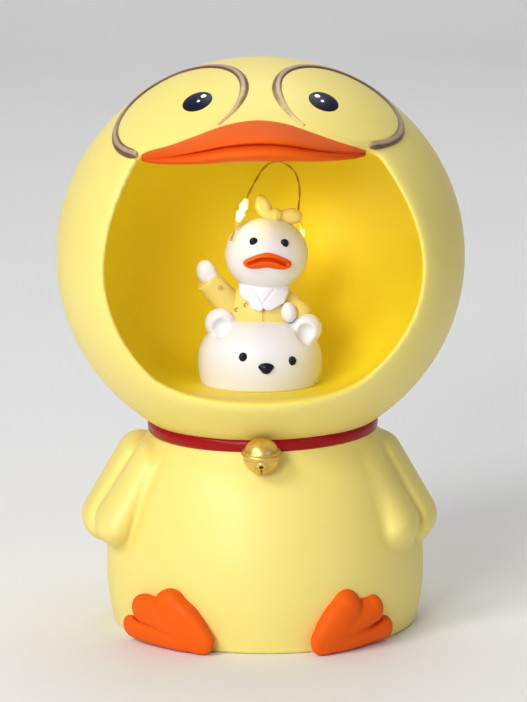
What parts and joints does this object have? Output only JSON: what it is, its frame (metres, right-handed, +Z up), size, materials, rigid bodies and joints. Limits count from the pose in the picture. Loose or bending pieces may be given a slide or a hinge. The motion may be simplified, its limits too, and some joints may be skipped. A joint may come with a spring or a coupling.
{
  "type": "duck-shaped night-light money bank",
  "caption": "Hollow cast ornament shaped like a sitting duck: its head is an open bowl with a small figurine and a copper-wire lamp, its body a coin chamber with a rubber stopper.",
  "frame": {"origin": "on the table, under the middle of the overall box", "axes": "+Z up, -Y out of the duck's face, +X to the viewer's right"},
  "size_m": [0.15, 0.1472, 0.2088],
  "materials": {
    "yellow_resin": "satin yellow paint over cast resin",
    "orange_paint": "satin orange paint over cast resin",
    "brown_paint": "brushed brown paint over cast resin",
    "black_paint": "gloss black paint",
    "white_paint": "satin white paint over cast resin",
    "red_paint": "gloss red paint",
    "gold_paint": "gold paint, slightly worn",
    "box_plastic": "fine texture",
    "switch_plastic": "moulded",
    "steel": "nickel plated",
    "contact_brass": "stamped strip",
    "foam": "closed-cell foam tape",
    "copper_wire": "enamelled copper",
    "clear_rubber": "silicone",
    "lamp_glow": "lit resin drop",
    "stopper_rubber": "moulded rubber"
  },
  "bodies": {
    "duck": {"head_casting": "yellow_resin", "body_casting": "yellow_resin", "wing_left": "yellow_resin", "wing_right": "yellow_resin", "eye_patch_left": "yellow_resin", "eye_patch_right": "yellow_resin", "upper_bill": "orange_paint", "lower_bill": "orange_paint", "foot_left": "orange_paint", "foot_right": "orange_paint", "eye_rim_left": "brown_paint", "eye_rim_right": "brown_paint", "pupil_left": "black_paint", "pupil_right": "black_paint", "eye_highlights": "white_paint", "collar_band": "red_paint", "bell": "gold_paint", "bear_base": "white_paint", "bear_ear_left": "white_paint", "bear_ear_right": "white_paint", "bear_eyes": "black_paint", "bear_nose": "black_paint", "chick_torso": "yellow_resin", "chick_shirt_collar": "white_paint", "chick_head": "white_paint", "chick_bill": "orange_paint", "chick_eyes": "black_paint", "chick_bow": "yellow_resin", "chick_sleeve_raised": "yellow_resin", "chick_hand_raised": "white_paint", "chick_sleeve_lowered": "yellow_resin", "chick_hand_lowered": "white_paint", "battery_case": "box_plastic", "coin_cells": "steel", "contact_negative": "contact_brass", "contact_positive": "contact_brass", "switch_base": "switch_plastic", "adhesive_pad": "foam", "lamp_lead": "copper_wire", "wire_grommet": "clear_rubber", "lamp_wire": "copper_wire", "lamp_bead_inner": "lamp_glow", "lamp_bead_outer": "lamp_glow"},
    "cover": {"battery_cover": "box_plastic"},
    "screw": {"cover_screw": "steel"},
    "switch": {"switch_slider": "switch_plastic"},
    "stopper": {"base_stopper": "stopper_rubber"}
  },
  "joints": [
    {"name": "cover_lift", "type": "slide", "parent": "duck", "child": "cover", "axis": [0, 1, 0], "range_m": [0, 0.03]},
    {"name": "screw_out", "type": "slide", "parent": "cover", "child": "screw", "axis": [0, 1, 0], "range_m": [0, 0.006]},
    {"name": "switch_slide", "type": "slide", "parent": "duck", "child": "switch", "axis": [1, 0, 0], "range_m": [0, 0.0025]},
    {"name": "stopper_pull", "type": "slide", "parent": "duck", "child": "stopper", "axis": [0, 0, -1], "range_m": [0, 0.03]}
  ]
}
